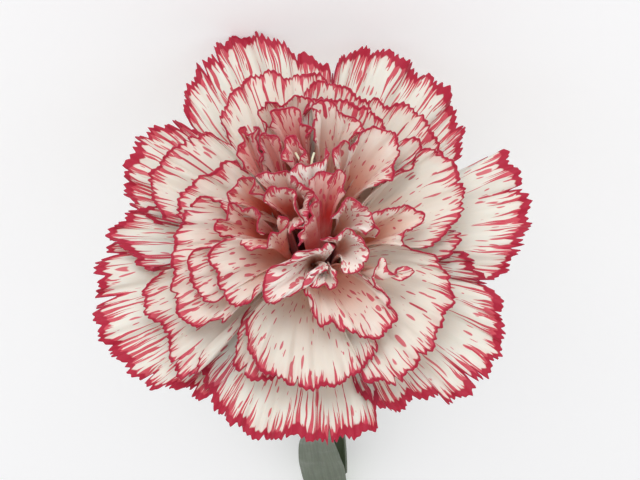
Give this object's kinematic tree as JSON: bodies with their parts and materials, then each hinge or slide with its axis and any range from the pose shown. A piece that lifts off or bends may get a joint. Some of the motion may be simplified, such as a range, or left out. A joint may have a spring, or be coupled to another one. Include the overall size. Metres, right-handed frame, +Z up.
{
  "type": "cut carnation",
  "caption": "Cut double carnation lying on its side: ruffled white petals with red edges and flecks, in a tubular green calyx on a short stem with a pair of leaves.",
  "frame": {"origin": "middle of the footprint, on the surface that the flower lies on", "axes": "+Z up, +Y from the bloom towards the cut end of the stem, +X to the right of someone who looks into the bloom along +Y"},
  "size_m": [0.0758, 0.1738, 0.0666],
  "materials": {
    "guard_petal": "soft matt petal, greenish white with crimson rim, comb streaks and flecks",
    "petal": "soft matt petal, cream white with crimson rim, comb streaks and flecks",
    "heart_petal": "soft matt petal, warm pink in its depth, with dense crimson rim and streaks",
    "calyx_green": "smooth waxy green with fine lengthwise ribs and pale papery margins",
    "stem_green": "smooth waxy blue-green",
    "leaf_green": "waxy grey-green with parallel veins",
    "pith_green": "moist pale green",
    "style_cream": "soft greenish white"
  },
  "bodies": {
    "root": {"calyx": "calyx_green", "receptacle": "pith_green", "ovary": "pith_green", "style_1": "style_cream", "style_2": "style_cream", "petal_heart_1": "heart_petal", "petal_heart_2": "heart_petal", "petal_heart_3": "heart_petal", "petal_heart_4": "heart_petal", "petal_heart_5": "heart_petal", "petal_heart_6": "heart_petal", "petal_heart_7": "heart_petal", "petal_inner_1": "heart_petal", "petal_inner_2": "heart_petal", "petal_inner_3": "heart_petal", "petal_inner_4": "heart_petal", "petal_inner_5": "heart_petal", "petal_inner_6": "heart_petal", "petal_inner_7": "heart_petal", "petal_inner_8": "heart_petal", "petal_inner_9": "heart_petal", "petal_middle_1": "petal", "petal_middle_2": "petal", "petal_middle_3": "petal", "petal_middle_4": "petal", "petal_middle_5": "petal", "petal_middle_6": "petal", "petal_middle_7": "petal", "petal_middle_8": "petal", "petal_middle_9": "petal", "petal_outer_1": "petal", "petal_outer_2": "petal", "petal_outer_3": "petal", "petal_outer_4": "petal", "petal_outer_5": "petal", "petal_outer_6": "petal", "petal_outer_7": "petal", "petal_outer_8": "petal", "petal_outer_9": "petal", "petal_outer_10": "petal", "petal_outer_11": "petal", "petal_outer_12": "petal", "petal_outer_13": "petal", "petal_guard_1": "guard_petal", "petal_guard_2": "guard_petal", "petal_guard_3": "guard_petal", "petal_guard_4": "guard_petal", "petal_guard_5": "guard_petal", "petal_guard_6": "guard_petal", "petal_guard_7": "guard_petal", "petal_guard_8": "guard_petal", "petal_guard_9": "guard_petal", "petal_guard_10": "guard_petal", "stem": "stem_green", "leaf_1": "leaf_green", "leaf_2": "leaf_green", "bract_1": "calyx_green", "bract_2": "calyx_green", "bract_3": "calyx_green", "bract_4": "calyx_green"}
  },
  "joints": []
}
